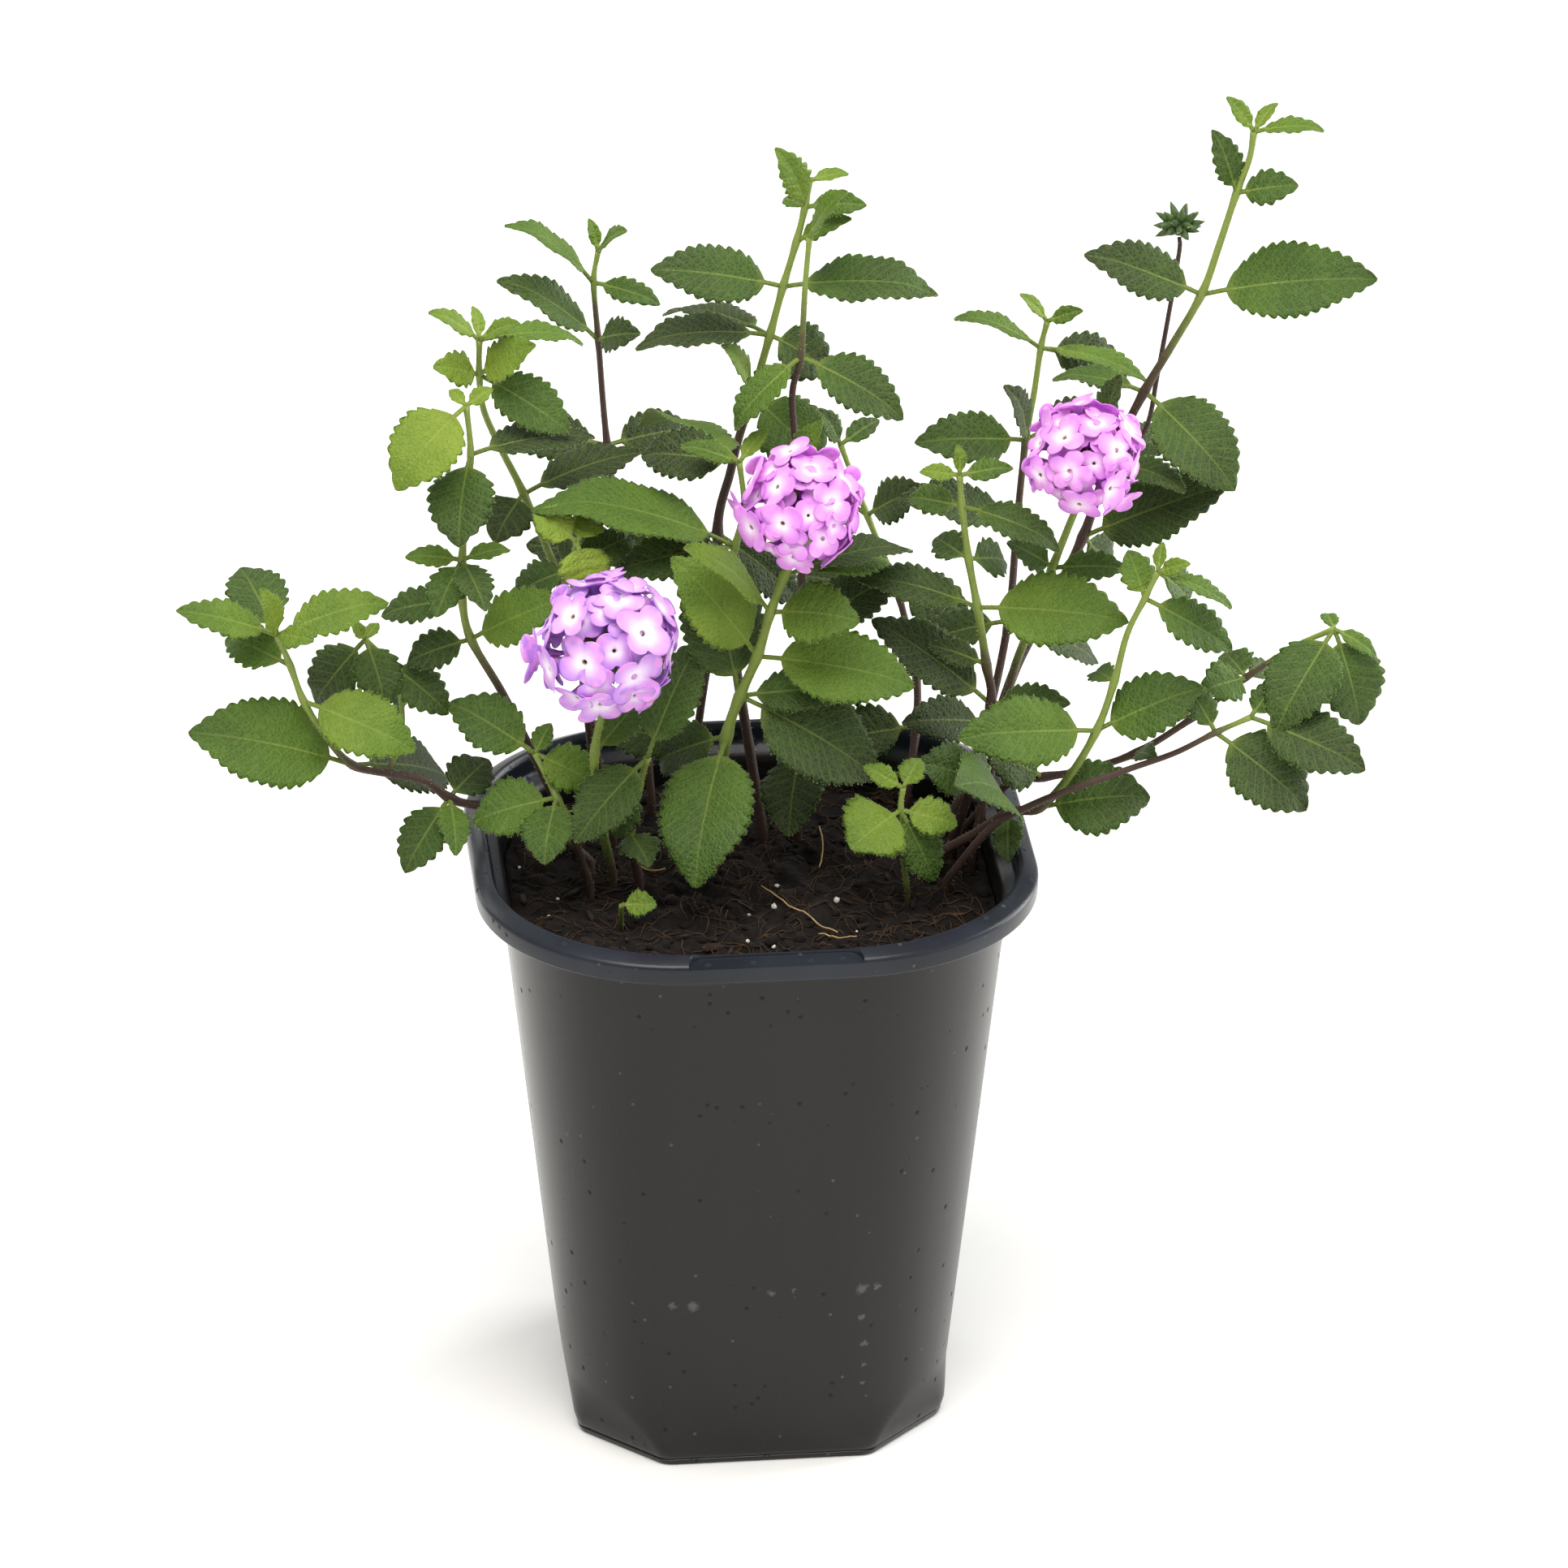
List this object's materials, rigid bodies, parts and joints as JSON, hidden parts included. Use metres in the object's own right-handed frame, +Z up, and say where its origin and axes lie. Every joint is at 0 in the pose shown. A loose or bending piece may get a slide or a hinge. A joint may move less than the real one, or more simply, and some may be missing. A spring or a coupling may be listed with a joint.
{
  "type": "potted trailing lantana",
  "caption": "Trailing lantana with toothed leaves on long thin stems and round lavender-pink flower heads, rooted in a square dark grey nursery pot.",
  "frame": {"origin": "middle of the pot's flat underside", "axes": "+Z up along the pot's axis; the pot's label ledge faces -Y, and its sides are square to X and Y"},
  "size_m": [0.2707, 0.1487, 0.3111],
  "materials": {
    "pot_plastic": "dark grey moulded plastic with a soft sheen",
    "potting_soil": null,
    "leaves_and_stems": null,
    "florets": null,
    "bracts": null
  },
  "bodies": {
    "root": {"bud_head": "bracts", "flower_head_front": "florets", "flower_head_middle": "florets", "flower_head_right": "florets", "pot": "pot_plastic", "seedling": "leaves_and_stems", "shoot_back_left": "leaves_and_stems", "shoot_back_middle": "leaves_and_stems", "shoot_back_right": "leaves_and_stems", "shoot_centre": "leaves_and_stems", "shoot_front_left": "leaves_and_stems", "shoot_front_right": "leaves_and_stems", "shoot_left": "leaves_and_stems", "shoot_left_tall": "leaves_and_stems", "shoot_light_left": "leaves_and_stems", "shoot_low_left": "leaves_and_stems", "shoot_low_right": "leaves_and_stems", "shoot_middle": "leaves_and_stems", "shoot_middle_second": "leaves_and_stems", "shoot_middle_tall": "leaves_and_stems", "shoot_right": "leaves_and_stems", "shoot_right_tall": "leaves_and_stems", "shoot_small_right": "leaves_and_stems", "shoot_trailing_left": "leaves_and_stems", "shoot_trailing_right": "leaves_and_stems", "soil": "potting_soil", "stem_front_head": "leaves_and_stems", "stem_right_head": "leaves_and_stems"}
  },
  "joints": []
}
